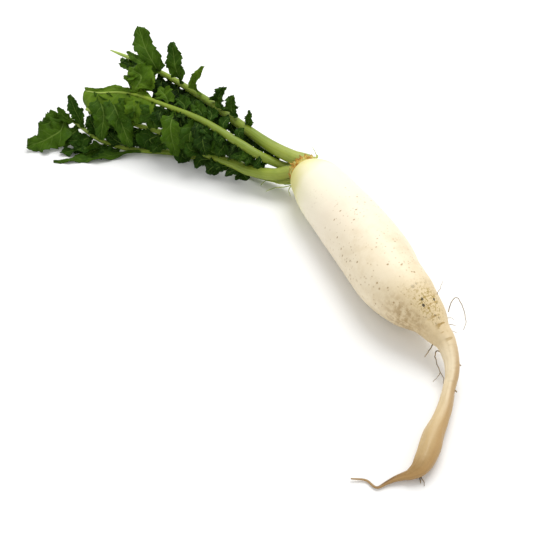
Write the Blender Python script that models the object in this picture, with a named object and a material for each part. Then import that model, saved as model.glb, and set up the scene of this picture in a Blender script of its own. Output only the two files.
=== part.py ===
"""A white daikon radish with its leaves on, lying on its side. Metres, +Z up.

The long root lies along +X, from its crown to a tail that bends away to -Y and ends in a
thin tip. Four leaves leave the crown towards -X and -Y. Each leaf is a juicy stalk with
separate lobes along both sides of it. Every length in the lists is in millimetres, measured
from the point on the ground under the middle of the crown.
"""

import math

import bpy
from mathutils import Vector

MM = 0.001
FOOTPRINT_MIDDLE = (33.75, -109.9)      # of the whole radish, from the crown
GAP = 0.3                               # between the root and the crown
UP = Vector((0, 0, 1))
OPEN_SIDE = Vector((0.69, -0.28, 0.67))     # where most of the leaves turn their flat side

# The root: x, y, z of its middle line and its radius there.
ROOT_SIDES = 28
ROOT_RINGS = 50
ROOT_LINE = (
    (0, 0, 33, 14.5), (4, 0, 33, 18.5), (12, 0, 33, 23), (28, 2, 32.5, 27.9),
    (57, 3, 31.5, 30.2), (105, 4, 31.5, 32.1), (149, 3, 31.5, 32), (178, 0, 32, 29.5),
    (206, 3, 32, 24.7), (226, 7, 30, 17.5), (241, 8, 27, 11.5), (253, 10, 24, 8.2),
    (267, 7, 19, 6.3), (278, 1, 15, 5.3), (287, -7, 12, 5), (297, -16, 9.5, 5.7),
    (308, -28, 8, 6.5), (317, -39, 7.6, 7.7), (325, -47, 7.8, 8), (333, -56, 7.6, 7.5),
    (338, -64, 6.6, 6.1), (339, -72, 5, 4), (338, -76, 4.2, 3.1), (337, -83, 3.2, 2.2),
    (337, -90, 2.2, 1.4), (337, -98, 1.4, 0.9), (329, -102, 1.3, 0.8), (324, -112, 2.2, 0.5),
)

# The crown: the short stem at the top of the root, a collar that carries the leaves.
CROWN_SIDES = 20
CROWN_LINE = ((-GAP, 0, 33, 14.8), (-2, 0, 33, 15), (-4, 0, 33, 14), (-5, 0, 33, 12.5))

# The stalks: x, y, z of each middle line and its radius, from the crown to the leaf's end.
STALK_SIDES = 10
STALK_RINGS = 26
STALK_BUNCHING = 1.5    # above 1, the rings stand closer together near the crown
STALK_HOLLOW = 0.78     # how flat a stalk's upper side is
BACK_STALK = (
    (-6.5, 6, 40, 6), (-9.5, 5.6, 40, 6.5), (-20, -6, 41.2, 7.5), (-46, -22, 44, 6.9),
    (-75, -33, 47, 5.7), (-141, -56, 53, 4.5), (-202, -83, 59, 3.5), (-249, -112, 65, 2.5),
    (-266, -126, 68, 1.9), (-276, -135, 70, 0.8),
)
UPPER_STALK = (
    (-6.5, 6.5, 27, 4.3), (-9, 5.9, 27, 4.4), (-16, -3, 27, 4.5), (-25, -14, 29, 4.7),
    (-33, -27, 34.5, 4.9), (-41, -40, 41.5, 4.9), (-56, -52, 48, 4.7), (-101, -80, 58, 3.6),
    (-144, -112, 62, 2.5), (-168, -128, 62, 1.8), (-190, -146, 59, 1.3), (-207, -166, 54, 1),
)
FRONT_STALK = (
    (-6.5, -7.5, 32, 5), (-9, -7.9, 31.9, 5.3), (-12.5, -15, 30, 6), (-18, -28, 26.5, 6.7),
    (-41, -47, 22, 6.5), (-59, -57, 21, 5.7), (-89, -79, 21, 4.1), (-140, -111, 25, 3.4),
    (-159, -131, 28, 3), (-179, -153, 32, 2.6), (-206, -185, 38, 2),
)
LOWER_STALK = (
    (-6.5, -3, 20.5, 4), (-8.5, -3.4, 20, 4.1), (-16, -8.5, 15.5, 4.5), (-28, -17, 10.5, 5),
    (-54, -36, 6.4, 4.8), (-81, -55, 4.8, 4.5), (-110, -81, 4, 4), (-134, -109, 3.6, 3.6),
    (-158, -150, 4, 3), (-178, -179, 11, 2.7), (-202, -196, 20, 2.2), (-226, -211, 28, 1.4),
)

# The lobes: place along the stalk from 0 to 1, middle, tip, width, and the way the flat faces.
LOBE_THICKNESS = 0.8
LOBE_STEPS = 6
LOBE_FOOT = 0.14        # where on a half turn of a sine the lobe's outline starts
LOBE_SPAN = 0.76        # and how much of the half turn it takes
LOBE_OFF_STALK = 1.2    # from a stalk's surface to where its lobe starts
RUNS_ALONG = 0.85       # a lobe this nearly in line with its stalk lies beside it
PLACES = 100            # steps in which a place along a stalk is found
LOBE_FOLD = 0.12        # rise of a lobe's edges over its midrib, as a share of its width
BACK_LOBES = (
    (0.74, (-205, -96, 92), (-214, -107, 120), 27, OPEN_SIDE),
    (0.65, (-187, -80, 80), (-193, -81, 108), 17, OPEN_SIDE),
    (0.54, (-159, -63, 68), (-154, -57, 90), 11, OPEN_SIDE),
    (0.45, (-131, -49, 62), (-127, -42, 76), 13, OPEN_SIDE),
    (0.36, (-105, -43, 62), (-107, -41, 76), 19, OPEN_SIDE),
    (0.28, (-81, -32, 56), (-83, -30, 68), 9, OPEN_SIDE),
    (0.50, (-149, -62, 40), (-150, -55, 22), 20, OPEN_SIDE),
    (0.60, (-173, -73, 40), (-172, -65, 20), 21, OPEN_SIDE),
    (0.70, (-196, -89, 42), (-199, -80, 20), 22, OPEN_SIDE),
    (0.79, (-229, -109, 48), (-233, -121, 38), 22, OPEN_SIDE),
    (0.86, (-250, -119, 58), (-272, -125, 57), 12, OPEN_SIDE),
    (0.32, (-90, -39, 39), (-87, -33, 30), 10, OPEN_SIDE),
    (0.40, (-116, -51, 40), (-115, -47, 28), 13, OPEN_SIDE),
    (0.23, (-63, -28, 38), (-60, -24, 30), 9, OPEN_SIDE),
)
UPPER_LOBES = (
    (0.40, (-80, -73, 44), (-85, -84, 32), 16, OPEN_SIDE),
    (0.49, (-98, -94, 42), (-97, -96, 16), 21, OPEN_SIDE),
    (0.58, (-112, -111, 48), (-105, -110, 16), 20, OPEN_SIDE),
    (0.67, (-145, -122, 50), (-145, -121, 32), 24, OPEN_SIDE),
    (0.76, (-162, -138, 52), (-155, -140, 36), 19, OPEN_SIDE),
    (0.89, (-168, -156, 44), (-145, -151, 14), 20, OPEN_SIDE),
    (0.94, (-182, -170, 40), (-166, -180, 18), 16, OPEN_SIDE),
    (1.00, (-214, -172, 53), (-225, -179, 50), 21, UP),
    (0.78, (-178, -128, 72), (-186, -140, 80), 27, OPEN_SIDE),
    (0.62, (-149, -103, 64), (-167, -107, 68), 18, OPEN_SIDE),
    (0.46, (-113, -76, 60), (-129, -80, 62), 13, OPEN_SIDE),
)
FRONT_LOBES = (
    (0.25, (-48, -51, 13), (-44, -49, 7), 11, OPEN_SIDE),
    (0.35, (-75, -77, 12), (-75, -85, 6), 16, OPEN_SIDE),
    (0.50, (-112, -101, 11), (-107, -96, 5), 17, OPEN_SIDE),
    (0.66, (-145, -128, 18), (-139, -122, 8), 22, OPEN_SIDE),
    (0.80, (-174, -160, 22), (-169, -172, 12), 21, OPEN_SIDE),
    (0.20, (-45, -47, 32), (-52, -52, 38), 10, OPEN_SIDE),
    (0.31, (-72, -53, 30), (-78, -55, 36), 12, OPEN_SIDE),
    (0.42, (-93, -81, 33), (-98, -72, 42), 16, OPEN_SIDE),
    (0.90, (-194, -176, 29), (-194, -189, 28), 14, OPEN_SIDE),
)
LOWER_LOBES = (
    (0.66, (-156, -180, 1.2), (-170, -236, 1.2), 13, UP),
    (0.76, (-174, -195, 5), (-183, -226, 3), 16, UP),
    (0.84, (-185, -201, 12), (-189, -215, 12), 15, OPEN_SIDE),
    (0.98, (-200, -230, 13), (-201, -257, 4), 29, OPEN_SIDE),
    (0.89, (-207, -197, 36), (-216, -200, 54), 14, OPEN_SIDE),
    (0.81, (-187, -182, 24), (-193, -186, 36), 17, OPEN_SIDE),
    (0.71, (-162, -146, 14), (-166, -139, 20), 13, OPEN_SIDE),
    (0.93, (-210, -211, 32), (-215, -215, 42), 10, OPEN_SIDE),
)

# The hair-like side roots at the neck: x, y, z and radius.
ROOTLET_SIDES = 5
ROOTLET_RINGS = 14
ROOTLETS = (
    ((236, 23, 34, 0.5), (240, 32, 40, 0.4), (247, 38, 40, 0.3), (256, 34, 34, 0.2)),
    ((247, 0, 20, 0.5), (249, -8, 17, 0.4), (254, -13, 12, 0.3)),
    ((258, 2, 17, 0.5), (262, -6, 13, 0.4), (270, -9, 9, 0.3), (279, -13, 6, 0.2)),
)


def clear_scene():
    for old in list(bpy.data.objects):
        bpy.data.objects.remove(old, do_unlink=True)


def material(name, colour, roughness):
    """A Principled material with no metal in it."""
    made = bpy.data.materials.new(name)
    made.use_nodes = True
    surface = made.node_tree.nodes["Principled BSDF"]
    surface.inputs["Base Color"].default_value = (*colour, 1)
    surface.inputs["Roughness"].default_value = roughness
    surface.inputs["Metallic"].default_value = 0
    return made


def smooth_line(points, count, bunching=1):
    """count points on a smooth curve through the given ones, with any values after x, y, z."""
    points = [Vector(point) for point in points]
    spans = [(b.xyz - a.xyz).length for a, b in zip(points, points[1:])]
    slopes = [(points[1] - points[0]) / spans[0]]
    for i in range(1, len(spans)):
        slopes.append((points[i + 1] - points[i - 1]) / (spans[i - 1] + spans[i]))
    slopes.append((points[-1] - points[-2]) / spans[-1])
    line = []
    for step in range(count):
        along = sum(spans) * (step / (count - 1)) ** bunching
        i = 0
        while i < len(spans) - 1 and along > spans[i]:
            along -= spans[i]
            i += 1
        u = min(along / spans[i], 1)
        from_start = (2 * u**3 - 3 * u**2 + 1) * points[i]
        to_end = (3 * u**2 - 2 * u**3) * points[i + 1]
        leaving = (u**3 - 2 * u**2 + u) * spans[i] * slopes[i]
        arriving = (u**3 - u**2) * spans[i] * slopes[i + 1]
        line.append(from_start + to_end + leaving + arriving)
    return line


def directions(line):
    """The unit direction of travel at each point of a line."""
    found = []
    for i in range(len(line)):
        before = line[max(i - 1, 0)]
        after = line[min(i + 1, len(line) - 1)]
        found.append((after.xyz - before.xyz).normalized())
    return found


def add_piece(name, points, faces, finish):
    """An object from points in millimetres from the crown, placed in the radish's own frame."""
    middle = Vector((*FOOTPRINT_MIDDLE, 0))
    mesh = bpy.data.meshes.new(name)
    mesh.from_pydata([(point - middle) * MM for point in points], [], faces)
    mesh.materials.append(finish)
    mesh.shade_smooth()
    mesh.set_sharp_from_angle(angle=math.radians(45))
    piece = bpy.data.objects.new(name, mesh)
    bpy.context.scene.collection.objects.link(piece)
    return piece


def add_swept(name, line, sides, finish, upper=1):
    """A closed body along a line of (x, y, z, radius), cut flat where it would pass the ground.

    upper is the height of the section's upper half, as a share of the radius.
    """
    points = []
    faces = []
    for centre, ahead in zip(line, directions(line)):
        across = ahead.cross(UP).normalized()
        upward = across.cross(ahead)
        for side in range(sides):
            angle = math.tau * side / sides
            rise = math.sin(angle) * (upper if math.sin(angle) > 0 else 1)
            point = centre.xyz + centre.w * (math.cos(angle) * across + rise * upward)
            point.z = max(point.z, 0)
            points.append(point)
    for ring in range(len(line) - 1):
        for side in range(sides):
            first = ring * sides + side
            second = ring * sides + (side + 1) % sides
            faces.append((first, first + sides, second + sides, second))
    faces.append(tuple(range(sides)))
    faces.append(tuple(reversed(range(len(points) - sides, len(points)))))
    return add_piece(name, points, faces, finish)


def add_lobe(name, stalk, place, middle, tip, width, facing, finish):
    """A thin leaf lobe, folded a little along its midrib, that starts just off its stalk.

    At its foot the lobe lies along the stalk, and towards its tip it turns to face its way.
    One that runs along its stalk lies beside it, and one at place 1 carries the stalk on.
    """
    step = round(place * PLACES)
    foot = stalk[step]
    along_stalk = directions(stalk)[step]
    runs_along = (Vector(tip) - foot.xyz).normalized().dot(along_stalk) > RUNS_ALONG
    outward = Vector(middle) - foot.xyz
    outward = (outward - outward.project(along_stalk)).normalized()
    start = foot.xyz + outward * (foot.w + LOBE_OFF_STALK)
    if place == 1:
        start = foot.xyz + along_stalk * LOBE_OFF_STALK
    elif runs_along:
        start += outward * width / 2 * math.sin(math.pi * LOBE_FOOT)
    midrib = smooth_line((start, middle, tip), LOBE_STEPS + 1)
    points = []
    for row, (centre, ahead) in enumerate(zip(midrib, directions(midrib))):
        share = row / LOBE_STEPS
        turned = facing.cross(ahead).normalized()
        at_foot = along_stalk if along_stalk.dot(turned) > 0 else -along_stalk
        across = turned if runs_along else at_foot.lerp(turned, share).normalized()
        half = width / 2 * math.sin(math.pi * (LOBE_FOOT + LOBE_SPAN * share))
        edge_rise = ahead.cross(across).normalized() * LOBE_FOLD * 2 * half * share
        points += [centre - half * across + edge_rise, centre, centre + half * across + edge_rise]
    faces = []
    for row in range(LOBE_STEPS):
        for first in (3 * row, 3 * row + 1):
            faces.append((first, first + 1, first + 4, first + 3))
    lobe = add_piece(name, points, faces, finish)
    plate = lobe.modifiers.new("leaf thickness", "SOLIDIFY")
    plate.thickness = LOBE_THICKNESS * MM
    plate.offset = 0
    return lobe


def add_leaf(name, stalk_points, lobes, stalk_finish, blade_finish):
    """One leaf: its stalk, and its lobes numbered from 1."""
    rings = smooth_line(stalk_points, STALK_RINGS, STALK_BUNCHING)
    add_swept(f"{name}_stalk", rings, STALK_SIDES, stalk_finish, STALK_HOLLOW)
    stalk = smooth_line(stalk_points, PLACES + 1)
    for number, lobe in enumerate(lobes, 1):
        add_lobe(f"{name}_lobe_{number}", stalk, *lobe, blade_finish)


def add_root():
    flesh = material("root_skin", (0.86, 0.82, 0.7), 0.45)
    add_swept("root", smooth_line(ROOT_LINE, ROOT_RINGS), ROOT_SIDES, flesh)


def add_crown():
    scar = material("crown_scar", (0.42, 0.24, 0.06), 0.7)
    add_swept("crown", smooth_line(CROWN_LINE, len(CROWN_LINE)), CROWN_SIDES, scar)


def add_rootlets():
    hair = material("rootlet", (0.4, 0.3, 0.16), 0.7)
    for number, points in enumerate(ROOTLETS, 1):
        line = smooth_line(points, ROOTLET_RINGS)
        add_swept(f"rootlet_{number}", line, ROOTLET_SIDES, hair)


def add_leaves():
    stalk = material("stalk", (0.35, 0.47, 0.09), 0.4)
    blade = material("blade", (0.07, 0.17, 0.02), 0.5)
    add_leaf("back", BACK_STALK, BACK_LOBES, stalk, blade)
    add_leaf("upper", UPPER_STALK, UPPER_LOBES, stalk, blade)
    add_leaf("front", FRONT_STALK, FRONT_LOBES, stalk, blade)
    add_leaf("lower", LOWER_STALK, LOWER_LOBES, stalk, blade)


clear_scene()
add_root()
add_crown()
add_leaves()
add_rootlets()
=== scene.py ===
"""A white daikon radish with its leaves on, lying on a pale table.

The radish is built as it grew: the root, the scarred crown on top of it, and four leaves out of
the crown, each a juicy stalk with lobes along both sides. Guides are in millimetres, measured
from the point on the table under the middle of the crown.
"""

import math
import random

import bpy
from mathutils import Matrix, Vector, noise


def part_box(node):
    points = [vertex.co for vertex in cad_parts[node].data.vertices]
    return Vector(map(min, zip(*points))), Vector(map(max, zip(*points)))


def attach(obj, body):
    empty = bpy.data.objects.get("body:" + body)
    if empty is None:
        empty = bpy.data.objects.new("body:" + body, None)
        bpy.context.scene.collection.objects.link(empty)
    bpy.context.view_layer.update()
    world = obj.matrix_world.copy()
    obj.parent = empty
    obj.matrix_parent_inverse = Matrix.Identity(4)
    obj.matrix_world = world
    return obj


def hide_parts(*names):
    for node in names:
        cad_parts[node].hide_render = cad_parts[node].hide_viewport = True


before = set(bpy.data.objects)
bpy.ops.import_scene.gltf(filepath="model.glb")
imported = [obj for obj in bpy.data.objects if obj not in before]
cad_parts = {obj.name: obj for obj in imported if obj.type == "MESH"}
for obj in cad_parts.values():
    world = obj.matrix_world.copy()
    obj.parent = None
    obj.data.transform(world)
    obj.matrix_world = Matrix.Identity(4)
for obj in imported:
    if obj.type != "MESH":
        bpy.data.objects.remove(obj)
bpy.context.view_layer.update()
bpy.ops.object.select_all(action="DESELECT")
NOISE_SEED = 7       # unseeded, the vector noise would differ from run to run
noise.seed_set(NOISE_SEED)


# --- The table, the light and the camera ---------------------------------------------------
# The table is one white sheet that runs far past the radish. A large soft lamp stands high
# behind the root, on its far side, and the white room fills the shadows.

MM = 0.001
TABLE_SIZE = 12
TABLE_DROP = 0.2 * MM
CROWN_GAP = 0.3 * MM        # between the CAD's crown and root
crown_low, crown_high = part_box("crown")
CROWN_FOOT = Vector((crown_high.x + CROWN_GAP, (crown_low.y + crown_high.y) / 2, 0))

bpy.ops.mesh.primitive_plane_add(size=TABLE_SIZE, location=(0, 0, -TABLE_DROP))
table = bpy.context.object
table.name = "table_top"
table_finish = bpy.data.materials.new("table_white")
table_finish.use_nodes = True
table_paint = table_finish.node_tree.nodes["Principled BSDF"]
table_paint.inputs["Base Color"].default_value = (0.9, 0.9, 0.89, 1)
table_paint.inputs["Roughness"].default_value = 0.7
table_paint.inputs["Specular IOR Level"].default_value = 0.1
table.data.materials.append(table_finish)

room = bpy.data.worlds.new("white_room")
room.use_nodes = True
room.node_tree.nodes["Background"].inputs["Color"].default_value = (1, 1, 1, 1)
room.node_tree.nodes["Background"].inputs["Strength"].default_value = 0.81
bpy.context.scene.world = room
bpy.context.scene.view_settings.view_transform = "Standard"

lamp_place = Vector((-0.4, 0.5, 1.35))
bpy.ops.object.light_add(type="AREA", location=lamp_place)
lamp = bpy.context.object
lamp.name = "soft_lamp"
lamp.data.shape = "DISK"
lamp.data.size = 1.1
lamp.data.energy = 15
lamp.rotation_euler = (-lamp_place).to_track_quat("-Z", "Y").to_euler()

eye = CROWN_FOOT + Vector((0.574, -0.2811, 0.4751))
aim = CROWN_FOOT + Vector((0.0862, -0.08, 0))
bpy.ops.object.camera_add(location=eye, rotation=(aim - eye).to_track_quat("-Z", "Y").to_euler())
camera = bpy.context.object
camera.name = "camera"
camera.data.lens = 50
camera.data.sensor_width = 36
bpy.context.scene.camera = camera


# --- The root ------------------------------------------------------------------------------
# One swollen white root with a smooth skin that narrows to a bent, tan tail and a thin brown
# tip. It is one sheet rolled up along its middle line, with low lumps, creases and ridges.

ROOT_COLUMNS = 112
ROOT_ROWS = 480
CREASE_COUNT = 46
CREASE_BREADTH = 0.0022     # as a share of the root's length
ROOT_LINE = (
    (0, 0, 33, 14.5), (4, 0, 33, 18.5), (12, 0, 33, 23), (28, 2, 32.5, 27.9),
    (57, 3, 31.5, 30.2), (105, 4, 31.5, 32.1), (149, 3, 31.5, 32), (178, 0, 32, 29.5),
    (206, 3, 32, 24.7), (226, 7, 30, 17.5), (241, 8, 27, 11.5), (253, 10, 24, 8.2),
    (267, 7, 19, 6.3), (278, 1, 15, 5.3), (287, -7, 12, 5), (297, -16, 9.5, 5.7),
    (308, -28, 8, 6.5), (317, -39, 7.6, 7.7), (325, -47, 7.8, 8), (333, -56, 7.6, 7.5),
    (338, -64, 6.6, 6.1), (339, -72, 5, 4), (338, -76, 4.2, 3.1), (337, -83, 3.2, 2.2),
    (337, -90, 2.2, 1.4), (337, -98, 1.4, 0.9), (329, -102, 1.3, 0.8), (324, -112, 2.2, 0.5),
)
NECK = 0.5          # how far along the root the neck starts
TAIL = 0.62         # and the thin tail


def smooth_line(points, count):
    """count points on a smooth curve through the given ones, with any values after x, y, z."""
    points = [Vector(point) for point in points]
    spans = [(b.xyz - a.xyz).length for a, b in zip(points, points[1:])]
    slopes = [(points[1] - points[0]) / spans[0]]
    for i in range(1, len(spans)):
        slopes.append((points[i + 1] - points[i - 1]) / (spans[i - 1] + spans[i]))
    slopes.append((points[-1] - points[-2]) / spans[-1])
    line = []
    for step in range(count):
        along = sum(spans) * step / (count - 1)
        i = 0
        while i < len(spans) - 1 and along > spans[i]:
            along -= spans[i]
            i += 1
        u = min(along / spans[i], 1)
        from_start = (2 * u**3 - 3 * u**2 + 1) * points[i]
        to_end = (3 * u**2 - 2 * u**3) * points[i + 1]
        leaving = (u**3 - 2 * u**2 + u) * spans[i] * slopes[i]
        arriving = (u**3 - u**2) * spans[i] * slopes[i + 1]
        line.append(from_start + to_end + leaving + arriving)
    return line


def directions(line):
    """The unit direction of travel at each point of a line."""
    found = []
    for i in range(len(line)):
        before = line[max(i - 1, 0)]
        after = line[min(i + 1, len(line) - 1)]
        found.append((after.xyz - before.xyz).normalized())
    return found


def swell(value, low, high):
    """0 below low, 1 above high and an even swell between them."""
    share = min(max((value - low) / (high - low), 0), 1)
    return share * share * (3 - 2 * share)


def shaped_sheet(name, columns, rows, place):
    """A flat grid with each point moved to place(across, along), both 0 to 1, in millimetres."""
    bpy.ops.mesh.primitive_grid_add(x_subdivisions=columns, y_subdivisions=rows, size=1)
    sheet = bpy.context.object
    sheet.name = name
    for point in sheet.data.vertices:
        moved = place(point.co.x + 0.5, point.co.y + 0.5)
        point.co = CROWN_FOOT + Vector(moved) * MM
    return sheet


def close_up(piece):
    """Joins a rolled sheet along its seam, fills its open ends and turns its faces outward."""
    bpy.ops.object.mode_set(mode="EDIT")
    bpy.ops.mesh.select_all(action="SELECT")
    bpy.ops.mesh.remove_doubles(threshold=1e-6)
    bpy.ops.mesh.select_all(action="DESELECT")
    bpy.ops.mesh.select_mode(type="EDGE")
    bpy.ops.mesh.select_non_manifold()
    bpy.ops.mesh.fill_holes(sides=0)
    bpy.ops.mesh.select_all(action="SELECT")
    bpy.ops.mesh.normals_make_consistent(inside=False)
    bpy.ops.object.mode_set(mode="OBJECT")
    bpy.ops.object.shade_smooth()
    return piece


def rolled(name, line, columns, relief, upper=1):
    """A closed body along a line of (x, y, z, radius), its seam underneath.

    relief(angle, along, radius) is what stands proud there. upper flattens the top half.
    """
    aheads = directions(line)
    rows = len(line) - 1

    def place(across, along):
        row = round(along * rows)
        angle = math.tau * across - math.pi / 2
        side = aheads[row].cross(Vector((0, 0, 1))).normalized()
        upward = side.cross(aheads[row])
        rise = math.sin(angle) * (upper if math.sin(angle) > 0 else 1)
        radius = line[row].w
        out = radius + relief(angle, along, radius)
        point = line[row].xyz + out * (math.cos(angle) * side + rise * upward)
        point.z = max(point.z, 0)
        return point

    return close_up(shaped_sheet(name, columns, rows, place))


class Finish:
    """A material put together from noise, ramps and blends, on one Principled shader."""

    def __init__(self, name, roughness, specular=0.5):
        self.material = bpy.data.materials.new(name)
        self.material.use_nodes = True
        self.nodes = self.material.node_tree.nodes
        self.links = self.material.node_tree.links
        self.surface = self.nodes["Principled BSDF"]
        self.surface.inputs["Roughness"].default_value = roughness
        self.surface.inputs["Specular IOR Level"].default_value = specular
        self.surface.inputs["Metallic"].default_value = 0
        places = self.nodes.new("ShaderNodeTexCoord")
        self.place = places.outputs["Object"]
        self.uv = places.outputs["UV"]

    def node(self, kind, inputs, output=0, **settings):
        made = self.nodes.new(kind)
        for setting, value in settings.items():
            setattr(made, setting, value)
        for socket, value in inputs.items():
            if isinstance(value, bpy.types.NodeSocket):
                self.links.new(value, made.inputs[socket])
            else:
                made.inputs[socket].default_value = value
        return made.outputs[output]

    def math(self, operation, *values):
        return self.node("ShaderNodeMath", dict(enumerate(values)), operation=operation)

    def stretch(self, vector, scale):
        return self.node("ShaderNodeMapping", {"Vector": vector, "Scale": scale})

    def noise(self, vector, scale, detail=3, roughness=0.5):
        inputs = {"Vector": vector, "Scale": scale, "Detail": detail, "Roughness": roughness}
        return self.node("ShaderNodeTexNoise", inputs)

    def cells(self, vector, scale, feature="F1", output="Distance"):
        inputs = {"Vector": vector, "Scale": scale}
        return self.node("ShaderNodeTexVoronoi", inputs, output, feature=feature)

    def between(self, value, low, high):
        """0 at low and 1 at high, with a smooth step between them. low may be the higher."""
        inputs = {"Value": value, "From Min": low, "From Max": high}
        return self.node("ShaderNodeMapRange", inputs, interpolation_type="SMOOTHSTEP")

    def blend(self, share, under, over, kind="MIX"):
        under, over = (
            (*paint, 1) if isinstance(paint, tuple) else paint for paint in (under, over)
        )
        inputs = {0: share, 6: under, 7: over}
        return self.node("ShaderNodeMix", inputs, 2, data_type="RGBA", blend_type=kind)

    def ramp(self, value, *stops):
        """A colour that changes along value, through (value, colour) stops."""
        ramp = self.nodes.new("ShaderNodeValToRGB")
        self.links.new(value, ramp.inputs[0])
        while len(ramp.color_ramp.elements) < len(stops):
            ramp.color_ramp.elements.new(0.5)
        for element, (position, colour) in zip(ramp.color_ramp.elements, stops):
            element.position = position
            element.color = (*colour, 1)
        return ramp.outputs[0]

    def bump(self, height, depth_mm, strength=1.0):
        inputs = {"Height": height, "Distance": depth_mm * MM, "Strength": strength}
        self.links.new(self.node("ShaderNodeBump", inputs), self.surface.inputs["Normal"])

    def colour(self, value):
        self.links.new(value, self.surface.inputs["Base Color"])


root_random = random.Random(4)
creases = []
for _ in range(CREASE_COUNT):
    along = root_random.triangular(NECK - 0.1, 0.78, NECK + 0.04)
    depth = root_random.uniform(0.15, 0.5) * (0.7 if along > TAIL else 1)
    middle = root_random.uniform(-math.pi, math.pi)
    width = root_random.uniform(0.4, 1.1)
    creases.append((along, middle, depth, width))


def root_relief(angle, along, radius):
    """Lumps all over, creases across the neck and fine ridges along the tail."""
    ring = Vector((math.cos(angle), math.sin(angle), along * 14))
    lumps = 0.5 * noise.noise(ring * 0.9) + 0.14 * noise.noise(ring * 3)
    tail = swell(along, NECK - 0.06, TAIL)
    ridges = tail * 0.3 * noise.noise(Vector((3 * math.cos(angle), 3 * math.sin(angle), along * 9)))
    cut = 0
    for place, middle, depth, width in creases:
        wave = 0.0016 * math.sin(3 * angle + 40 * place)
        away = (along - place + wave) / CREASE_BREADTH
        if abs(away) < 3:
            turn = (angle - middle + math.pi) % math.tau - math.pi
            cut += depth * math.exp(-away * away) * max(0, 1 - (turn / width) ** 2)
    thin = min(1, radius / 6)
    return (lumps * (1 + tail) + ridges - cut) * thin


root_rings = smooth_line(ROOT_LINE, ROOT_ROWS + 1)
root = rolled("daikon_root", root_rings, ROOT_COLUMNS, root_relief)

skin = Finish("root_skin", roughness=0.42, specular=0.35)
along_root = skin.node("ShaderNodeSeparateXYZ", {0: skin.uv}, "Y")
round_root = skin.node("ShaderNodeSeparateXYZ", {0: skin.uv}, "X")
wander = skin.math("SUBTRACT", skin.noise(skin.place, 28, 4), 0.5)
wandering = skin.math("MULTIPLY_ADD", wander, 0.09, along_root)
zones = skin.ramp(
    wandering,
    (0.0, (0.66, 0.60, 0.18)),
    (0.03, (0.78, 0.72, 0.36)),
    (0.08, (0.88, 0.83, 0.64)),
    (0.2, (0.86, 0.77, 0.61)),
    (0.44, (0.82, 0.71, 0.51)),
    (0.52, (0.70, 0.56, 0.33)),
    (0.58, (0.72, 0.57, 0.34)),
    (0.66, (0.80, 0.68, 0.47)),
    (0.76, (0.60, 0.45, 0.24)),
    (0.84, (0.50, 0.35, 0.16)),
    (0.885, (0.30, 0.17, 0.05)),
    (0.94, (0.18, 0.09, 0.025)),
    (1.0, (0.36, 0.24, 0.12)),
)


def root_patch(start, end, left, right):
    """1 on the stretch from start to end of the root, between two lines along it."""
    soft = 0.035
    lengthwise = skin.math(
        "MULTIPLY",
        skin.between(along_root, start - soft, start + soft),
        skin.between(along_root, end + soft, end - soft),
    )
    around = skin.math(
        "MULTIPLY",
        skin.between(round_root, left - soft, left + soft),
        skin.between(round_root, right + soft, right - soft),
    )
    return skin.math("MULTIPLY", lengthwise, around)


blotches = skin.between(skin.noise(skin.place, 60, 5, 0.7), 0.42, 0.72)
stain = skin.math("MULTIPLY", blotches, skin.between(along_root, 0.12, 0.5))
stained = skin.blend(skin.math("MULTIPLY", stain, 0.4), zones, (0.56, 0.42, 0.22))
tan_spots = skin.between(skin.noise(skin.place, 210, 5, 0.7), 0.36, 0.64)
tan = skin.math("MULTIPLY", root_patch(0.48, 0.56, 0.14, 0.37), tan_spots)
tanned = skin.blend(skin.math("MULTIPLY", tan, 0.85), stained, (0.40, 0.27, 0.12))
streaks = skin.between(skin.noise(skin.stretch(skin.uv, (26, 3, 1)), 2.2, 4, 0.6), 0.5, 0.75)
streak_zone = skin.between(along_root, 0.5, 0.7)
streaking = skin.math("MULTIPLY", skin.math("MULTIPLY", streaks, streak_zone), 0.4)
streaked = skin.blend(streaking, tanned, (0.50, 0.34, 0.15))
# Darker brown on the tail's far side: partly the tail's own tan, partly painted shade.
tail_only = skin.between(along_root, 0.56, 0.66)
tail_far_side_shade = skin.math("MULTIPLY", skin.between(round_root, 0.48, 0.6), tail_only)
browned_and_shaded = skin.blend(skin.math("MULTIPLY", tail_far_side_shade, 0.75), streaked, (0.42, 0.25, 0.09))

near_side = skin.between(round_root, 0.44, 0.26)
shoulder_side = skin.math("MULTIPLY", skin.between(round_root, 0.02, 0.16), near_side)
shoulder = skin.math("MULTIPLY", shoulder_side, skin.between(wandering, 0.15, 0.01))
shouldered = skin.blend(skin.math("MULTIPLY", shoulder, 0.65), browned_and_shaded, (0.66, 0.62, 0.17))
pore_patches = skin.between(skin.noise(skin.place, 26, 2), 0.34, 0.5)
before_tail = skin.between(along_root, 0.64, 0.5)
pore_zone = skin.math("MULTIPLY", skin.between(along_root, 0.06, 0.3), before_tail)
large_pores = skin.between(skin.cells(skin.stretch(skin.uv, (22, 72, 1)), 1), 0.17, 0.07)
small_pores = skin.between(skin.cells(skin.stretch(skin.uv, (46, 118, 1)), 1), 0.22, 0.1)
either_pore = skin.math("MAXIMUM", large_pores, skin.math("MULTIPLY", small_pores, 0.5))
pores = skin.math("MULTIPLY", skin.math("MULTIPLY", either_pore, pore_patches), pore_zone)
pored = skin.blend(skin.math("MULTIPLY", pores, 0.85), shouldered, (0.36, 0.23, 0.09))

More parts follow.
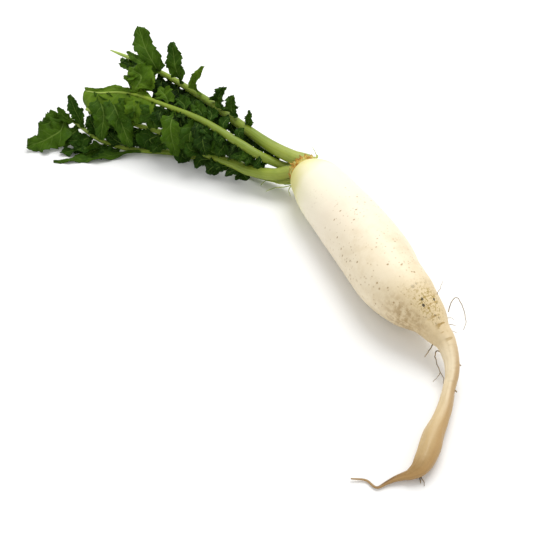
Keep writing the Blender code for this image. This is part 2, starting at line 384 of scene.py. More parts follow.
dirt_zone = root_patch(0.5, 0.55, 0.4, 0.58)
dirt_specks = skin.between(skin.noise(skin.stretch(skin.uv, (44, 150, 1)), 1.3, 4, 0.7), 0.5, 0.57)
dirty = skin.blend(skin.math("MULTIPLY", dirt_zone, dirt_specks), pored, (0.33, 0.22, 0.03))
soil_specks = skin.between(skin.cells(skin.stretch(skin.uv, (26, 80, 1)), 1), 0.3, 0.2)
soil_patches = skin.between(skin.noise(skin.place, 130, 2), 0.46, 0.5)
soil = skin.math("MULTIPLY", dirt_zone, skin.math("MULTIPLY", soil_specks, soil_patches))
crease_lines = skin.between(skin.noise(skin.stretch(skin.uv, (4, 110, 1)), 1, 3, 0.55), 0.54, 0.6)
crease_dirt = skin.math("MULTIPLY", root_patch(0.52, 0.6, 0.44, 0.66), crease_lines)
creased = skin.blend(skin.math("MULTIPLY", crease_dirt, 0.8), dirty, (0.36, 0.22, 0.05))
skin.colour(skin.blend(soil, creased, (0.012, 0.009, 0.003)))
fine = skin.noise(skin.place, 420, 4, 0.6)
wrinkles = skin.noise(skin.stretch(skin.uv, (7, 150, 1)), 1.5, 4, 0.6)
wrinkling = skin.math("MULTIPLY", wrinkles, skin.between(along_root, 0.4, 0.52))
relief = skin.math("ADD", skin.math("MULTIPLY", fine, 0.35), wrinkling)
skin.bump(skin.math("SUBTRACT", relief, skin.math("MULTIPLY", pores, 0.8)), 0.35)
root.data.materials.append(skin.material)
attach(root, "root")
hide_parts("root")


# --- The side roots ------------------------------------------------------------------------
# Dry hairs, thinner than a straw, that stayed on the neck and tail when the root was pulled.
# Each is a thin rolled sheet along its own line. The finest ones are joined into one piece.

SIDE_ROOT_SIDES = 6
SIDE_ROOTS = (
    ((236, 20, 40, 0.5), (231, 25, 44.5, 0.4), (227, 33, 43.5, 0.35), (229, 36, 40, 0.35),
     (237, 36, 34, 0.3), (244, 34, 28, 0.25), (247, 31, 25, 0.2)),
    ((247, 2, 20, 0.55), (248.5, -1, 17, 0.45), (251, -7, 11.5, 0.3)),
    ((257, 4.5, 19, 0.5), (252, 3, 16, 0.5), (259, -1.5, 13, 0.4), (267, -2, 9, 0.35),
     (271, -1.5, 7, 0.3), (278, -5, 5, 0.2)),
)
FINE_HAIRS = (
    ((220, 17, 44, 0.3), (216, 23, 47, 0.25), (210, 30, 49, 0.15)),
    ((268, -2, 9, 0.3), (270, -6, 7, 0.25), (271, -10, 4, 0.2)),
    ((339, -62, 4, 0.9), (342, -65, 2.6, 0.6), (346, -67, 1, 0.3)),
    ((342, -64.5, 3, 0.5), (345, -64, 1.8, 0.35), (349, -65, 0.8, 0.2)),
    ((240, 17, 29, 0.35), (241.5, 21, 30, 0.25), (244, 24, 30, 0.15)),
    ((244, 17, 27, 0.35), (247, 20, 27.5, 0.2), (249, 22.5, 27, 0.12)),
    ((236, 19, 33, 0.3), (237, 23, 33, 0.2), (239, 25, 32, 0.12)),
    ((270, 9, 18, 1), (273, 10.5, 18, 0.6), (274.5, 11, 17.5, 0.3)),
    ((289, -4.5, 12.5, 0.9), (291.5, -3.5, 12.5, 0.5), (292.5, -3.5, 12, 0.25)),
    ((329, -44, 10, 0.9), (332, -43.5, 9.5, 0.5), (333, -43, 9, 0.25)),
)


def side_root(name, points):
    """A thin hair, a little crooked, along its points."""
    line = smooth_line(points, 9 * len(points))
    for i, point in enumerate(line):
        shake = noise.noise_vector(Vector((point.x * 0.35, point.y * 0.35, 7)))
        point.xyz += shake * 0.7 * min(1, i / 6)
        point.z = max(point.z, point.w)
    return rolled(name, line, SIDE_ROOT_SIDES, lambda angle, along, radius: 0.0)


hair = Finish("rootlet", roughness=0.8, specular=0.2)
hair_tint = hair.between(hair.noise(hair.place, 260, 3), 0.35, 0.65)
hair.colour(hair.blend(hair_tint, (0.34, 0.24, 0.12), (0.17, 0.13, 0.09)))
hair.bump(hair.noise(hair.place, 900, 3), 0.2)

for number, points in enumerate(SIDE_ROOTS, 1):
    thread = side_root(f"side_root_{number}", points)
    thread.data.materials.append(hair.material)
    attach(thread, "root")
    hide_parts(f"rootlet_{number}")


def joined(name, pieces):
    """Several pieces made one object."""
    bpy.ops.object.select_all(action="DESELECT")
    for piece in pieces:
        piece.select_set(True)
    bpy.context.view_layer.objects.active = pieces[0]
    bpy.ops.object.join()
    pieces[0].name = name
    pieces[0].data.name = name
    bpy.ops.object.select_all(action="DESELECT")
    return pieces[0]


fine_hairs = joined("fine_hairs", [side_root("hair", points) for points in FINE_HAIRS])
fine_hairs.data.materials.append(hair.material)
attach(fine_hairs, "root")


# --- The crown -----------------------------------------------------------------------------
# The short stem that carries the leaves: a rough orange-brown collar of scars where older
# leaves broke off. A ridged ring carries thin dry scales, each a small bent flap.

CROWN_HEIGHT = 33
CROWN_LINE = (
    (3, 0, 33, 17.4), (0, 0, 33, 17.4), (-3, 0, 33, 16.8), (-6, 0, 33, 15.8), (-8.5, 0, 33, 13.5),
    (-9.5, 0, 33, 9), (-10, 0, 33, 2),
)
SCALES = 90
SCALE_RADIUS = 17
SCALE_NARROW = 15           # the crown's radius about where the scales end
SCALE_THICKNESS = 0.3


def crown_relief(angle, along, radius):
    """Fibres that run out from the root, and torn edges."""
    fibre = noise.noise(Vector((9 * math.cos(angle), 9 * math.sin(angle), along * 2)))
    torn = noise.noise(Vector((3 * math.cos(angle), 3 * math.sin(angle), along * 7)))
    return (0.7 * fibre + 0.9 * torn) * min(1, radius / 10)


crown = rolled("crown_collar", smooth_line(CROWN_LINE, 49), 160, crown_relief)

scale_random = random.Random(12)
scales = []
for number in range(SCALES):
    angle = math.tau * (number + scale_random.uniform(-0.4, 0.4)) / SCALES
    start = scale_random.uniform(-6, 1)
    length = scale_random.uniform(2, 6.5)
    half = scale_random.uniform(0.5, 1.5)
    lift = scale_random.uniform(-0.1, 0.45)
    lean = scale_random.uniform(-0.5, 0.5)

    def scale_point(across, along):
        side = 2 * across - 1
        turned = angle + (half * side * (1 - along**2) + lean * along) / SCALE_NARROW
        radius = SCALE_RADIUS + 0.25 * min(start, 0) + lift * length * along + 0.35 * (1 - side**2)
        x = start - length * along * 0.8
        return x, radius * math.cos(turned), CROWN_HEIGHT + radius * math.sin(turned)

    scales.append(shaped_sheet("scale", 2, 4, scale_point))
crown_scales = joined("crown_scales", scales)
crown_skin = crown_scales.modifiers.new("scale thickness", "SOLIDIFY")
crown_skin.thickness = SCALE_THICKNESS * MM
crown_skin.offset = 0
bpy.context.view_layer.objects.active = crown_scales
crown_scales.select_set(True)
bpy.ops.object.modifier_apply(modifier=crown_skin.name)
bpy.ops.object.shade_smooth()
bpy.ops.object.select_all(action="DESELECT")

scar = Finish("crown_scar", roughness=0.75, specular=0.25)
scar_patches = scar.noise(scar.place, 190, 4, 0.6)
scar_colours = scar.ramp(
    scar_patches,
    (0.3, (0.12, 0.045, 0.008)),
    (0.42, (0.40, 0.19, 0.025)),
    (0.52, (0.54, 0.33, 0.05)),
    (0.62, (0.52, 0.50, 0.15)),
)
scar_fibres = scar.noise(scar.stretch(scar.place, (120, 900, 900)), 1, 4, 0.6)
pale_fibres = scar.math("MULTIPLY", scar.between(scar_fibres, 0.5, 0.7), 0.5)
scar.colour(scar.blend(pale_fibres, scar_colours, (0.6, 0.45, 0.16)))
scar.bump(scar.math("ADD", scar_fibres, scar_patches), 0.9)
for piece in (crown, crown_scales):
    piece.data.materials.append(scar.material)
    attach(piece, "root")
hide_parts("crown")


# --- Broken shoots at the crown ------------------------------------------------------------
# Stringy green shoots, as thin as thread, that stayed under the leaves when the old ones were
# pulled off, and a pale stub with a hair on it on the crown's far side.

GREEN_SHOOTS = (
    ((1, -13, 22, 0.7), (-9, -23, 18, 0.5), (-23, -31, 15, 0.4), (-37, -34, 13, 0.35)),
    ((1, -14, 21, 0.6), (-15, -23, 17, 0.5), (-26, -34, 14, 0.4), (-25, -41, 11, 0.3)),
    ((0, -15, 20, 0.6), (-8, -24, 15, 0.5), (-13, -30, 12, 0.4), (-15, -39, 9, 0.3)),
    ((-2, -15, 19, 0.6), (0, -19, 15, 0.4), (5, -19.5, 11, 0.25)),
    ((1, 8, 47, 1.5), (-1, 12, 47, 1.3), (-4, 14, 47, 0.9), (-5, 14.5, 47.5, 0.4)),
    ((-3, 13, 47, 0.5), (-7, 13, 50, 0.35), (-13, 12.5, 53, 0.2)),
)
shoot = Finish("green_shoot", roughness=0.5, specular=0.3)
shoot_tint = shoot.between(shoot.noise(shoot.place, 150, 3), 0.38, 0.62)
shoot.colour(shoot.blend(shoot_tint, (0.40, 0.45, 0.09), (0.18, 0.27, 0.03)))
shoot.bump(shoot.noise(shoot.place, 700, 3), 0.2)
green_shoots = joined("green_shoots", [side_root("shoot", points) for points in GREEN_SHOOTS])
green_shoots.data.materials.append(shoot.material)
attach(green_shoots, "root")


# --- The back leaf -------------------------------------------------------------------------
# The largest leaf, held up behind the others. Its stalk is thick, pale and ribbed, flatter on
# top than below. Six lobes stand up from it, and the others hang beneath it or point onward.

STALK_COLUMNS = 40
STALK_ROWS = 150
STALK_UPPER = 0.78          # how high its upper half is, against a round one
PLACES = 100                # steps along a stalk that lobes grow from
VEIN_PAIRS = 6
VEIN_SLANT = 1.1
LEAF_THICKNESS = 0.4
LOWEST_LEAF = 0.4           # how far above the table a leaf's sheet stays
OPEN_SIDE = Vector((0.69, -0.28, 0.67))
UP = Vector((0, 0, 1))

BACK_STALK = (
    (1, 5.6, 39, 7.4), (-6.5, 6, 40, 8.2), (-12, 1.5, 40.6, 8), (-20, -6, 41.2, 7.7),
    (-46, -22, 44, 6.9), (-75, -33, 47, 5.7), (-141, -56, 53, 4.5), (-202, -83, 59, 3.5),
    (-249, -112, 65, 2.5), (-266, -126, 68, 1.9), (-276, -135, 70, 0.8),
)
# Each row gives a lobe's place along the stalk, the points of its middle line after the foot,
# its width, the way it faces, its tint (painted shade at the dark end, painted light at the bright
# end, with some tone of its own), and how blunt it is.
BACK_LOBES = (
    (0.77, ((-191, -101, 80), (-199, -108, 98), (-219, -110, 119)), 25, OPEN_SIDE, 0.5, 1),
    (0.64, ((-181, -81, 80), (-192, -80, 107)), 20, OPEN_SIDE, 0.42, 0.2),
    (0.54, ((-163, -68, 66), (-161, -62, 78), (-156, -57, 90)), 11, OPEN_SIDE, 0.72),
    (0.45, ((-131, -49, 62), (-127, -42, 76)), 18, OPEN_SIDE, 0.35, -0.4),
    (0.36, ((-105, -43, 62), (-107, -41, 76)), 22, OPEN_SIDE, 0.38, -0.5),
    (0.28, ((-81, -32, 56), (-83, -30, 68)), 11, OPEN_SIDE, 0.42, -0.4),
    (0.50, ((-149, -62, 40), (-150, -55, 22)), 27, OPEN_SIDE, 0.1),
    (0.60, ((-173, -73, 40), (-172, -65, 20)), 28, OPEN_SIDE, 0.1),
    (0.70, ((-196, -89, 42), (-199, -80, 20)), 28, OPEN_SIDE, 0.15),
    (0.79, ((-229, -109, 48), (-233, -121, 38)), 27, OPEN_SIDE, 0.2),
    (0.86, ((-250, -119, 58), (-272, -125, 57)), 15, OPEN_SIDE, 0.45),
    (0.32, ((-90, -39, 39), (-87, -33, 30)), 13, OPEN_SIDE, 0.15),
    (0.40, ((-116, -51, 40), (-115, -47, 28)), 17, OPEN_SIDE, 0.12),
    (0.23, ((-63, -28, 38), (-60, -24, 30)), 11, OPEN_SIDE, 0.2),
)
BACK_SMALL_LOBES = (
    (0.67, ((-178, -80, 44), (-172, -74, 30)), 25, OPEN_SIDE, 0.05),
    (0.56, ((-156, -64, 42), (-151, -66, 28)), 22, OPEN_SIDE, 0.05),
    (0.46, ((-126, -58, 42), (-123, -54, 30)), 20, OPEN_SIDE, 0.1),
    (0.36, ((-101, -45, 42), (-95, -42, 34)), 12, OPEN_SIDE, 0.15),
    (0.75, ((-202, -97, 46), (-202, -103, 34)), 25, OPEN_SIDE, 0.1),
    (0.26, ((-75, -36, 38), (-71, -30, 30)), 11, OPEN_SIDE, 0.2),
    (0.19, ((-56, -27, 38), (-51, -21, 32)), 8, OPEN_SIDE, 0.3),
    (0.13, ((-45, -21, 38), (-38, -15, 32)), 7, OPEN_SIDE, 0.3),
    (0.41, ((-121, -52, 60), (-121, -48, 68)), 8, OPEN_SIDE, 0.4),
    (0.78, ((-238, -108, 67), (-263, -118, 70)), 11, OPEN_SIDE, 0.5),
    (0.82, ((-244, -113, 60), (-264, -125, 58)), 12, OPEN_SIDE, 0.2),
    (0.63, ((-174, -69, 44), (-167, -65, 36)), 20, OPEN_SIDE, 0.1, -0.3),
    (0.51, ((-139, -58, 42), (-135, -62, 32)), 20, OPEN_SIDE, 0.1, -0.3),
    (0.72, ((-192, -85, 46), (-187, -90, 34)), 22, OPEN_SIDE, 0.05),
    (0.30, ((-79, -38, 40), (-77, -44, 32)), 12, OPEN_SIDE, 0.2, -0.3),
)
# How many frills, from where to where on the stalk, the longest, which way they point, and a seed.
BACK_FRILLS = (34, 0.1, 0.6, 20, (0.1, -0.2, -0.9), 3)


def stalk_relief(angle, along, radius):
    """Ribs along the stalk and a slight unevenness."""
    ribs = 0.035 * math.cos(13 * angle + 3 * along)
    uneven = 0.05 * noise.noise(Vector((math.cos(angle), math.sin(angle), along * 9)))
    return radius * (ribs + uneven)


def add_stalk(name, points, node):
    line = smooth_line(points, STALK_ROWS + 1)
    piece = rolled(name, line, STALK_COLUMNS, stalk_relief, STALK_UPPER)
    piece.data.materials.append(stalk_finish.material)
    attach(piece, "root")
    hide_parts(node)


def lobe_outline(share, side, seed, blunt):
    """Half a lobe's width there, as a share of its greatest: a narrow foot, and coarse teeth.

    blunt is 0 for an oval lobe, 1 for a spoon and below 0 for a pointed one.
    """
    body = math.sin(math.pi * (0.06 + 0.92 * share ** (0.9 + 1.1 * blunt))) ** 0.6
    foot = 0.38 + 0.62 * swell(share, 0.04, 0.3)
    ragged = 0.13 + 0.25 * max(-blunt, 0)
    big = 1 + ragged * math.sin(math.tau * (2.3 * share + 0.37 * seed + 0.21 * side))
    tooth = (9 * share + 0.23 * side + 0.31 * seed) % 1
    return body * foot * big * (1 - (0.06 + ragged) * tooth * swell(share, 0.08, 0.3))


def add_lobe(name, stalk, place, points, width, facing, painted_light_tone, blunt=0, rows=60, columns=18):
    """A thin leaf lobe from just inside the stalk, along its own middle line, as a closed sheet.

    Its foot lies along the stalk, on the side it grows towards: in front of the stalk if the lobe
    points to the open side, and otherwise behind it. The flesh swells between the veins, and the
    edges curl.
    """
    step = round(place * PLACES)
    foot = stalk[step].xyz
    along_stalk = directions(stalk)[step]
    outward = Vector(points[0]) - foot
    if place < 1:
        outward -= outward.project(along_stalk)
        outward.normalize()
        toward_open = 0.6 if outward.dot(OPEN_SIDE) > 0.6 else -0.5
        foot += (0.7 * outward + toward_open * OPEN_SIDE) * stalk[step].w
    seed = (foot.x * 0.37 + points[0][2] * 0.11) % 10
    midrib = smooth_line((foot, *points), rows + 1)
    aheads = directions(midrib)
    frames = []
    for row, ahead in enumerate(aheads):
        turned = facing.cross(ahead).normalized()
        at_foot = along_stalk if along_stalk.dot(turned) > 0 else -along_stalk
        across = at_foot.lerp(turned, swell(row / rows, 0, 0.5)).normalized()
        frames.append((across, ahead.cross(across).normalized()))

    def lobe_point(over, along):
        row = round(along * rows)
        side = 2 * over - 1
        across, normal = frames[row]
        half = width / 2 * lobe_outline(along, 1 if side > 0 else -1, seed, blunt)
        fold = 0.32 * abs(side) * half
        wave = math.sin(math.tau * (3.2 * along + 0.13 * seed) + (0 if side > 0 else 2))
        curl = (0.15 * wave - 0.14 * swell(along, 0.4, 1)) * side**2 * width
        vein = (VEIN_PAIRS * along - VEIN_SLANT * abs(side)) % 1
        quilt = 0.045 * width * math.sin(math.pi * vein) ** 0.6 * min(1, 4 * abs(side))
        crumple = 0.13 * width * noise.noise(Vector((side * 1.3, along * 3, seed)))
        point = midrib[row] + side * half * across + (fold + curl + quilt + crumple) * normal
        point.z = max(point.z, LOWEST_LEAF)
        return point

    return leaf_sheet(name, columns, rows, lobe_point, painted_light_tone)


def leaf_sheet(name, columns, rows, place, painted_light_tone):
    """A shaped sheet made a closed leaf blade of one tint, a painted brightness from shaded dark to
    lit bright.
    """
    lobe = shaped_sheet(name, columns, rows, place)
    painted_light_tones = lobe.data.attributes.new("painted_light_tone", "FLOAT", "POINT")
    for value in painted_light_tones.data:
        value.value = painted_light_tone
    plate = lobe.modifiers.new("leaf thickness", "SOLIDIFY")
    plate.thickness = LEAF_THICKNESS * MM
    plate.offset = 0
    bpy.ops.object.modifier_apply(modifier=plate.name)
    bpy.ops.object.shade_smooth()
    lobe.data.materials.append(blade_finish)
    return lobe


def frills(stalk, count, first, last, longest, side_of_stalk, seed):
    """Small divided lobes crowded along part of a stalk, at chance places and angles."""
    chance = random.Random(seed)
    made = []
    for _ in range(count):
        place = chance.uniform(first, last)
        foot = stalk[round(place * PLACES)].xyz
        length = longest * chance.uniform(0.45, 1)
        scatter = Vector([chance.uniform(-0.75, 0.75) for _ in range(3)])
        reach = (Vector(side_of_stalk) + scatter).normalized() * length
        bend = Vector([chance.uniform(-0.3, 0.3) for _ in range(3)]) * length
        points = (foot + reach * 0.5 + bend, foot + reach)
        width = length * chance.uniform(0.35, 0.6)
        # The chance tint stays low, so the crowded frills are painted in shade.
        painted_light_tone = chance.uniform(0.05, 0.4)
        made.append(add_lobe("small", stalk, place, points, width, OPEN_SIDE, painted_light_tone, -0.2, 16, 6))
    return made


def add_leaf(name, stalk_points, lobes, small_lobes, frill_choice):
    """One leaf's stalk, its lobes that stand for a CAD node each, and its smaller lobes."""
    add_stalk(f"{name}_leaf_stalk", stalk_points, f"{name}_stalk")
    stalk = smooth_line(stalk_points, PLACES + 1)
    for number, row in enumerate(lobes, 1):
        if row is None:
            continue
        lobe = add_lobe(f"{name}_leaf_lobe_{number}", stalk, *row)
        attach(lobe, "root")
        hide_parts(f"{name}_lobe_{number}")
    small = [add_lobe("small", stalk, *row, rows=36, columns=10) for row in small_lobes]
    small += frills(stalk, *frill_choice)
    small_piece = joined(f"{name}_leaf_small_lobes", small)
    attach(small_piece, "root")


stalk_finish = Finish("stalk", roughness=0.4, specular=0.35)
along_stalk_uv = stalk_finish.node("ShaderNodeSeparateXYZ", {0: stalk_finish.uv}, "Y")
stalk_zones = stalk_finish.ramp(
    along_stalk_uv,
    (0.0, (0.42, 0.46, 0.13)),
    (0.07, (0.32, 0.37, 0.055)),
    (0.2, (0.20, 0.265, 0.02)),
    (0.5, (0.165, 0.235, 0.010)),
    (0.8, (0.23, 0.33, 0.018)),
    (1.0, (0.42, 0.56, 0.12)),
)
stalk_lines = stalk_finish.noise(stalk_finish.stretch(stalk_finish.uv, (34, 3, 1)), 1.6, 4, 0.55)
stalk_pale = stalk_finish.math("MULTIPLY", stalk_finish.between(stalk_lines, 0.48, 0.7), 0.35)
stalk_lined = stalk_finish.blend(stalk_pale, stalk_zones, (0.38, 0.43, 0.10))
stalk_mottle = stalk_finish.between(stalk_finish.noise(stalk_finish.place, 70, 4), 0.42, 0.7)
stalk_shade = stalk_finish.math("MULTIPLY", stalk_mottle, 0.3)
stalk_finish.colour(stalk_finish.blend(stalk_shade, stalk_lined, (0.11, 0.19, 0.012)))
stalk_grain = stalk_finish.noise(stalk_finish.place, 500, 2)
stalk_finish.bump(stalk_finish.math("ADD", stalk_lines, stalk_grain), 0.25)

blade = Finish("blade", roughness=0.55, specular=0.12)
blade_finish = blade.material
over_blade = blade.node("ShaderNodeSeparateXYZ", {0: blade.uv}, "X")
along_blade = blade.node("ShaderNodeSeparateXYZ", {0: blade.uv}, "Y")
off_middle = blade.math("ABSOLUTE", blade.math("SUBTRACT", over_blade, 0.5))
from_midrib = blade.math("MULTIPLY", off_middle, 2)
# Each lobe's tint is painted light and shade: low for lobes in shade, high for lit ones, with some
# tone of its own. Mottled, it picks the flesh colour from near black to bright green.
painted_light_tone = blade.node("ShaderNodeAttribute", {}, "Fac", attribute_name="painted_light_tone")
mottle = blade.math("SUBTRACT", blade.noise(blade.place, 60, 4, 0.6), 0.5)
light_and_mottle = blade.math("MULTIPLY_ADD", mottle, 0.5, painted_light_tone)
flesh = blade.ramp(
    light_and_mottle,
    (0.0, (0.007, 0.025, 0.0008)),
    (0.3, (0.022, 0.072, 0.001)),
    (0.6, (0.080, 0.170, 0.004)),
    (1.0, (0.30, 0.46, 0.03)),
)
midrib_width = blade.math("MULTIPLY_ADD", along_blade, -0.05, 0.09)
midrib_line = blade.between(blade.math("DIVIDE", from_midrib, midrib_width), 1.0, 0.45)
vein_slant = blade.math("MULTIPLY", from_midrib, -VEIN_SLANT)
vein_phase = blade.math("MULTIPLY_ADD", along_blade, VEIN_PAIRS, vein_slant)
vein_turn = blade.math("FRACT", blade.math("ADD", vein_phase, 5.5))
from_vein = blade.math("ABSOLUTE", blade.math("SUBTRACT", vein_turn, 0.5))
vein_reach = blade.between(from_midrib, 0.95, 0.55)
vein_line = blade.math("MULTIPLY", blade.between(from_vein, 0.06, 0.015), vein_reach)
net_place = blade.stretch(blade.uv, (1, 2.2, 1))
net = blade.between(blade.cells(net_place, 17, "DISTANCE_TO_EDGE"), 0.07, 0.01)
veins = blade.math("MAXIMUM", midrib_line, blade.math("MULTIPLY", vein_line, 0.55))
veined = blade.blend(blade.math("MULTIPLY", veins, 0.7), flesh, (0.22, 0.34, 0.06))
netted = blade.blend(blade.math("MULTIPLY", net, 0.14), veined, (0.2, 0.34, 0.08))
blade.colour(netted)
blade_grain = blade.noise(blade.place, 330, 3)
blade.bump(blade.math("ADD", blade.math("MULTIPLY", net, -0.35), blade_grain), 0.35)
shine_through = blade.node("ShaderNodeBsdfTranslucent", {"Color": netted}, "BSDF")
both = blade.node(
    "ShaderNodeMixShader", {0: 0.3, 1: blade.surface.outputs["BSDF"], 2: shine_through}, "Shader"
)
blade.links.new(both, blade.nodes["Material Output"].inputs["Surface"])

add_leaf("back", BACK_STALK, BACK_LOBES, BACK_SMALL_LOBES, BACK_FRILLS)


# --- The upper leaf ------------------------------------------------------------------------
# It leans over the middle of the bunch and shows its rib from end to end. Its near lobes hang
# in strips, and its end is a broad blade that droops from the rib.

UPPER_STALK = (
    (1, 5, 30, 5.5), (-6.5, 6, 29, 5.4), (-10, 4.5, 28.5, 5), (-16, -3, 28, 4.7), (-25, -14, 29, 4.7),
    (-33, -27, 34.5, 4.9), (-41, -40, 41.5, 4.9), (-56, -52, 48, 4.7), (-101, -80, 58, 3.6),
    (-144, -112, 62, 2.6), (-168, -128, 62, 2.1), (-190, -146, 59, 1.7), (-207, -166, 54, 1.3),
    (-224, -179, 50.5, 0.5),
)
# The eighth lobe is the end blade, which has a shape of its own further down.
UPPER_LOBES = (
    (0.40, ((-80, -73, 44), (-85, -84, 32)), 18, OPEN_SIDE, 0.35),
    (0.49, ((-98, -94, 42), (-97, -96, 16)), 25, OPEN_SIDE, 0.4),
    (0.58, ((-112, -111, 48), (-105, -110, 16)), 24, OPEN_SIDE, 0.52),
    (0.67, ((-145, -122, 50), (-145, -121, 32)), 30, OPEN_SIDE, 0.4),
    (0.76, ((-162, -138, 52), (-155, -140, 36)), 24, OPEN_SIDE, 0.62),
    (0.89, ((-168, -156, 44), (-145, -151, 14)), 26, OPEN_SIDE, 0.42),
    (0.94, ((-182, -170, 40), (-166, -180, 18)), 26, OPEN_SIDE, 0.45),
    None,
    (0.78, ((-184, -121, 76), (-195, -131, 84)), 36, OPEN_SIDE, 0.62, -0.2),
    (0.62, ((-149, -103, 64), (-167, -107, 68)), 22, OPEN_SIDE, 0.6),
    (0.46, ((-113, -76, 60), (-129, -80, 62)), 15, OPEN_SIDE, 0.4),
)
UPPER_SMALL_LOBES = (
    (0.55, ((-130, -89, 62), (-145, -93, 64)), 17, OPEN_SIDE, 0.35),
    (0.37, ((-84, -60, 57), (-91, -51, 60)), 12, OPEN_SIDE, 0.3),
    (0.29, ((-64, -50, 54), (-67, -43, 58)), 10, OPEN_SIDE, 0.3),
    (0.30, ((-60, -56, 40), (-64, -64, 30)), 12, OPEN_SIDE, 0.3),
    (0.44, ((-84, -84, 44), (-80, -83, 26)), 21, OPEN_SIDE, 0.15),
    (0.25, ((-50, -47, 38), (-51, -54, 30)), 10, OPEN_SIDE, 0.25),
    (0.80, ((-168, -144, 50), (-158, -154, 40)), 25, OPEN_SIDE, 0.4),
    (0.64, ((-135, -116, 52), (-129, -116, 40)), 20, OPEN_SIDE, 0.25),
    (0.75, ((-180, -112, 72), (-198, -114, 77)), 18, OPEN_SIDE, 0.7, -0.3),
    (0.77, ((-186, -128, 71), (-199, -138, 73)), 15, OPEN_SIDE, 0.65, -0.3),
    (0.57, ((-115, -98, 46), (-112, -97, 30)), 20, OPEN_SIDE, 0.2),
    (0.36, ((-69, -65, 42), (-68, -74, 30)), 20, OPEN_SIDE, 0.3, -0.3),
    (0.21, ((-48, -41, 34), (-49, -48, 26)), 10, OPEN_SIDE, 0.3, -0.3),
    (0.52, ((-123, -73, 60), (-136, -73, 62)), 15, OPEN_SIDE, 0.35, -0.3),
    (0.44, ((-104, -66, 60), (-115, -69, 62)), 15, OPEN_SIDE, 0.3, -0.3),
)
UPPER_FRILLS = (48, 0.2, 0.62, 22, (0.3, -0.35, -0.9), 5)
UPPER_END_COLUMNS = 30
UPPER_END_ROWS = 80
UPPER_END = ((-150, -116, 62), (-168, -128, 62), (-190, -146, 59), (-207, -166, 54), (-226, -181, 50))
HANGING = Vector((0.8, -0.6, 0))    # the way that the near half leans out as it hangs


def upper_end_point(over, along):
    """The end blade: its near half hangs from the rib like a curtain, its far half is narrow."""
    row = round(along * UPPER_END_ROWS)
    side = 2 * over - 1
    teeth = 1 - 0.1 * ((11 * along + 0.4 * side) % 1)
    ripple = math.sin(math.tau * (2.4 * along + 0.25 * abs(side)))
    if side > 0:
        reach = 40 * math.sin(math.pi * (0.04 + 0.86 * along**0.8)) ** 0.8 * teeth * side
        hang = math.radians(8 + 52 * side)
        away = HANGING * math.cos(hang) - UP * math.sin(hang)
    else:
        reach = 11 * math.sin(math.pi * (0.05 + 0.9 * along)) ** 0.6 * teeth * -side
        away = Vector((-0.45, 0.45, 0.55))
    point = upper_end_rib[row] + reach * away + HANGING * 3.2 * ripple * side**2
    crumple = noise.noise_vector(Vector((over * 4, along * 5, 3)))
    under_rib = 0.5
    return point + crumple * 2.4 * abs(side) - under_rib * UP


upper_end_rib = smooth_line(UPPER_END, UPPER_END_ROWS + 1)
# Its tint of 0.7 paints the end blade as brightly lit.
upper_end = leaf_sheet("upper_leaf_end_blade", UPPER_END_COLUMNS, UPPER_END_ROWS, upper_end_point, 0.7)
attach(upper_end, "root")
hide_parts("upper_lobe_8")
add_leaf("upper", UPPER_STALK, UPPER_LOBES, UPPER_SMALL_LOBES, UPPER_FRILLS)


# --- The front leaf ------------------------------------------------------------------------
# A leaf whose thick stalk sweeps low in front of the others and then goes in under them. Its
# lobes are small and much divided near the crown, and most of them are in shade, painted in as a dark
# tint.

FRONT_STALK = (
    (1, -5.5, 33, 7), (-6.5, -7.5, 32, 7), (-9, -9, 31.9, 7), (-12.5, -15, 30, 7),
    (-18, -28, 26.5, 6.9), (-41, -47, 22, 6.5), (-59, -57, 21, 5.7), (-89, -79, 21, 4.1),
    (-140, -111, 25, 3.4), (-159, -131, 28, 3), (-179, -153, 32, 2.6), (-206, -185, 38, 2),
)
FRONT_LOBES = (
    (0.25, ((-48, -51, 13), (-44, -49, 7)), 13, OPEN_SIDE, 0.15),
    (0.35, ((-75, -77, 12), (-75, -85, 6)), 20, OPEN_SIDE, 0.15),
    (0.50, ((-112, -101, 11), (-107, -96, 5)), 22, OPEN_SIDE, 0.2),
    (0.66, ((-145, -128, 18), (-139, -122, 8)), 28, OPEN_SIDE, 0.3),
    (0.80, ((-174, -160, 22), (-169, -172, 12)), 27, OPEN_SIDE, 0.3),
    (0.20, ((-45, -47, 32), (-52, -52, 38)), 12, OPEN_SIDE, 0.3),
    (0.31, ((-72, -53, 30), (-78, -55, 36)), 15, OPEN_SIDE, 0.2),
    (0.42, ((-93, -81, 33), (-98, -72, 42)), 20, OPEN_SIDE, 0.2),
    (0.90, ((-194, -176, 29), (-194, -189, 28)), 18, OPEN_SIDE, 0.3),
)
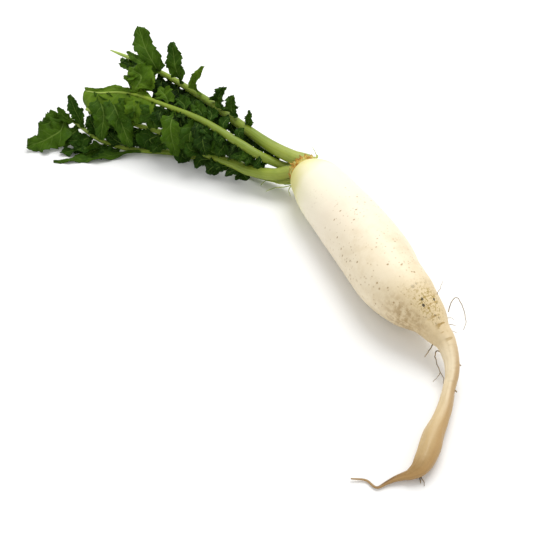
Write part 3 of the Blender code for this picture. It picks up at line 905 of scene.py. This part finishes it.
FRONT_SMALL_LOBES = (
    (0.15, ((-35, -42, 32), (-36, -35, 38)), 7, OPEN_SIDE, 0.3),
    (0.25, ((-57, -61, 14), (-59, -69, 8)), 10, OPEN_SIDE, 0.15),
    (0.31, ((-70, -73, 13), (-67, -80, 7)), 12, OPEN_SIDE, 0.15),
    (0.39, ((-90, -86, 14), (-86, -94, 8)), 15, OPEN_SIDE, 0.2),
    (0.45, ((-90, -97, 30), (-98, -99, 36)), 15, OPEN_SIDE, 0.3),
    (0.56, ((-128, -106, 33), (-135, -108, 40)), 17, OPEN_SIDE, 0.25),
    (0.60, ((-134, -120, 16), (-135, -130, 8)), 17, OPEN_SIDE, 0.3),
    (0.34, ((-79, -69, 31), (-80, -64, 38)), 11, OPEN_SIDE, 0.3),
    (0.75, ((-162, -144, 20), (-158, -151, 12)), 17, OPEN_SIDE, 0.3),
    (0.28, ((-66, -60, 30), (-72, -60, 37)), 13, OPEN_SIDE, 0.4, -0.4),
    (0.37, ((-84, -81, 32), (-86, -91, 36)), 17, OPEN_SIDE, 0.4, -0.4),
    (0.47, ((-117, -97, 16), (-127, -109, 8)), 17, OPEN_SIDE, 0.3),
    (0.29, ((-55, -53, 12), (-50, -60, 6)), 10, OPEN_SIDE, 0.2, -0.3),
)
FRONT_FRILLS = (44, 0.2, 0.66, 19, (-0.3, 0.7, 0.3), 8)

add_leaf("front", FRONT_STALK, FRONT_LOBES, FRONT_SMALL_LOBES, FRONT_FRILLS)


# --- The lower leaf ------------------------------------------------------------------------
# The leaf that lies on the table. Its stalk rises only at the far end, where the last broad
# lobe folds back down, and two long lobes lie flat under it.

LOWER_STALK = (
    (0, -3, 22, 4.6), (-6.5, -3, 20.5, 4.4), (-8.5, -3.4, 20, 4.3), (-16, -8.5, 15.5, 4.5),
    (-28, -17, 10.5, 5), (-54, -36, 6.4, 4.8), (-81, -55, 4.8, 4.5), (-110, -81, 4, 4),
    (-134, -109, 3.6, 3.6), (-158, -150, 4, 3), (-178, -179, 11, 2.7), (-202, -196, 20, 2.2),
    (-226, -211, 28, 1.4),
)
LOWER_LOBES = (
    (0.66, ((-156, -180, 1.2), (-170, -236, 1.2)), 18, UP, 0.45),
    (0.76, ((-174, -195, 5), (-183, -226, 3)), 20, UP, 0.3),
    (0.84, ((-185, -201, 12), (-189, -215, 12)), 18, OPEN_SIDE, 0.3),
    (0.98, ((-204, -218, 18), (-202, -230, 13), (-203, -244, 9), (-206, -259, 5)), 34, OPEN_SIDE, 0.5),
    (0.89, ((-207, -197, 36), (-216, -200, 54)), 16, OPEN_SIDE, 0.35),
    (0.81, ((-187, -182, 24), (-193, -186, 36)), 20, OPEN_SIDE, 0.3),
    (0.71, ((-162, -146, 14), (-166, -139, 20)), 16, OPEN_SIDE, 0.2),
    (0.93, ((-210, -211, 32), (-215, -215, 42)), 12, OPEN_SIDE, 0.45),
)
LOWER_SMALL_LOBES = (
    (0.62, ((-154, -138, 14), (-159, -146, 22)), 17, OPEN_SIDE, 0.2),
    (0.71, ((-167, -165, 15), (-175, -171, 24)), 16, OPEN_SIDE, 0.2),
    (0.78, ((-170, -186, 5), (-167, -203, 2)), 17, OPEN_SIDE, 0.45),
    (0.91, ((-198, -209, 12), (-192, -222, 5)), 22, OPEN_SIDE, 0.42),
    (0.85, ((-181, -198, 8), (-175, -211, 3)), 18, OPEN_SIDE, 0.25),
    (0.73, ((-161, -173, 3), (-159, -194, 2)), 15, OPEN_SIDE, 0.3),
    (0.89, ((-207, -196, 28), (-213, -188, 36)), 12, OPEN_SIDE, 0.35, -0.3),
    (0.95, ((-216, -219, 20), (-220, -233, 16)), 20, OPEN_SIDE, 0.5, -0.2),
    (0.99, ((-217, -227, 24), (-211, -243, 18)), 22, OPEN_SIDE, 0.45, -0.2),
)
LOWER_FRILLS = (16, 0.5, 0.85, 20, (-0.4, 0.5, 0.1), 2)

add_leaf("lower", LOWER_STALK, LOWER_LOBES, LOWER_SMALL_LOBES, LOWER_FRILLS)
